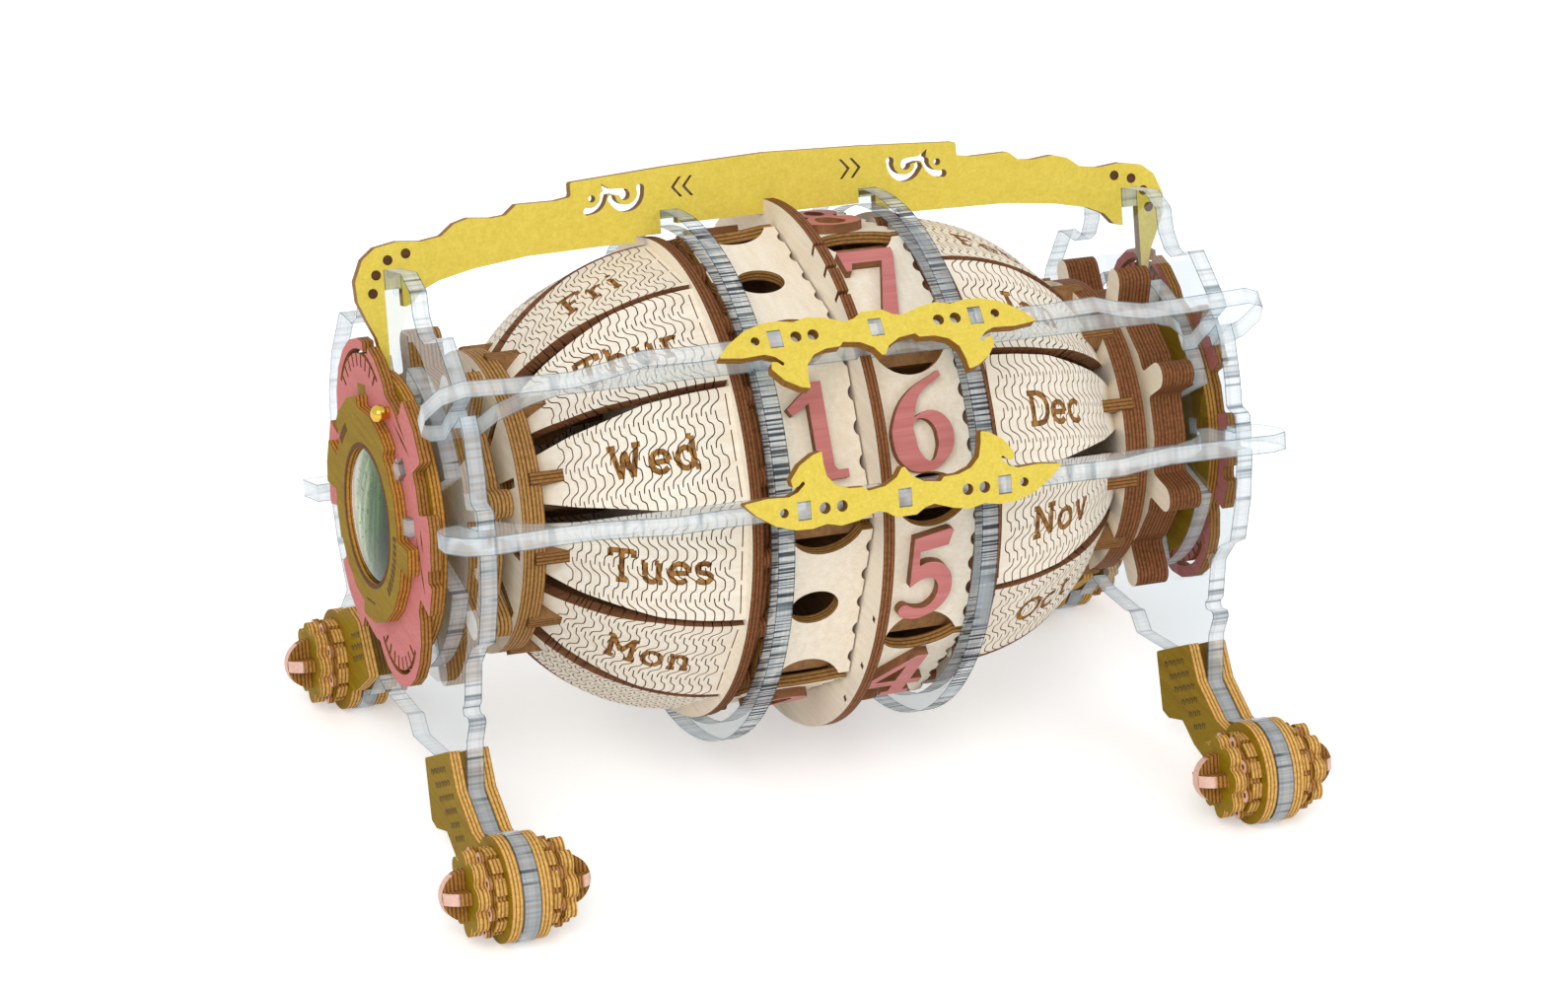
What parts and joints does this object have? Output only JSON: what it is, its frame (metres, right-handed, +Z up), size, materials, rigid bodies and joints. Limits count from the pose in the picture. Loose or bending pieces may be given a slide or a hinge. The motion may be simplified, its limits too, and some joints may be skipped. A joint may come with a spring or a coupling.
{
  "type": "perpetual desk calendar",
  "caption": "Barrel-shaped perpetual desk calendar: weekday, date and month drums turn by hand on one axle in a clear four-legged frame with a handle.",
  "frame": {"origin": "on the desk, at the middle of the footprint", "axes": "+X to the right along the axle, -Y to the front, +Z up"},
  "size_m": [0.1604, 0.1107, 0.1009],
  "materials": {
    "birch_ply": "laser-cut birch plywood, sanded, uncoated, burnt edges",
    "gold_ply": "laser-cut plywood painted matt metallic gold",
    "olive_ply": "laser-cut plywood printed olive gold, burnt edges",
    "pink_ply": "laser-cut plywood stained dusty pink",
    "brown_ply": "burnt edge-on plywood, brown",
    "clear_acrylic": "clear laser-cut acrylic sheet",
    "lens_glass": "clear domed lens with a green tint",
    "printed_card": "pale green printed card",
    "beech_dowel": "turned beech dowel",
    "brass": "polished brass"
  },
  "bodies": {
    "frame": {"end_plate_left": "clear_acrylic", "end_plate_right": "clear_acrylic", "handle": "gold_ply", "ring_left": "clear_acrylic", "ring_right": "clear_acrylic", "divider": "birch_ply", "bar_upper": "clear_acrylic", "bar_lower": "clear_acrylic", "bar_back": "clear_acrylic", "ornament_upper": "gold_ply", "ornament_lower": "gold_ply", "axle": "beech_dowel", "axle_collars": "birch_ply", "trim_back_left": "olive_ply", "trim_back_right": "olive_ply", "trim_plate_left": "pink_ply", "trim_plate_right": "pink_ply", "dial_plate_left": "olive_ply", "dial_plate_right": "olive_ply", "dial_face_left": "printed_card", "dial_face_right": "printed_card", "lens_left": "lens_glass", "lens_right": "lens_glass", "ball_pins": "brass", "dial_keys": "clear_acrylic", "cladding_front_left": "olive_ply", "cladding_front_right": "olive_ply", "cladding_back_left": "olive_ply", "cladding_back_right": "olive_ply", "foot_gears_front_left": "olive_ply", "foot_gears_front_right": "olive_ply", "foot_gears_back_left": "olive_ply", "foot_gears_back_right": "olive_ply", "foot_rosettes_front_left": "olive_ply", "foot_rosettes_front_right": "olive_ply", "foot_rosettes_back_left": "olive_ply", "foot_rosettes_back_right": "olive_ply", "foot_caps_front_left": "pink_ply", "foot_caps_front_right": "pink_ply", "foot_caps_back_left": "pink_ply", "foot_caps_back_right": "pink_ply"},
    "weekday_drum": {"weekday_staves": "birch_ply", "weekday_big_disc": "birch_ply", "weekday_scallop_disc": "birch_ply", "weekday_hub_discs": "birch_ply", "weekday_ribs": "brown_ply", "weekday_knob": "birch_ply"},
    "tens_drum": {"tens_facets": "birch_ply", "tens_end_discs": "birch_ply", "tens_rods": "brown_ply"},
    "units_drum": {"units_facets": "birch_ply", "units_end_discs": "birch_ply", "units_rods": "brown_ply"},
    "month_drum": {"month_staves": "birch_ply", "month_big_disc": "birch_ply", "month_scallop_disc": "birch_ply", "month_hub_discs": "birch_ply", "month_ribs": "brown_ply", "month_knob": "birch_ply"}
  },
  "joints": [
    {"name": "weekday_turn", "type": "hinge", "parent": "frame", "child": "weekday_drum", "pos_m": [0, 0.01005, 0.05], "axis": [1, 0, 0], "continuous": true},
    {"name": "tens_turn", "type": "hinge", "parent": "frame", "child": "tens_drum", "pos_m": [0, 0.01005, 0.05], "axis": [1, 0, 0], "continuous": true},
    {"name": "units_turn", "type": "hinge", "parent": "frame", "child": "units_drum", "pos_m": [0, 0.01005, 0.05], "axis": [1, 0, 0], "continuous": true},
    {"name": "month_turn", "type": "hinge", "parent": "frame", "child": "month_drum", "pos_m": [0, 0.01005, 0.05], "axis": [1, 0, 0], "continuous": true}
  ]
}
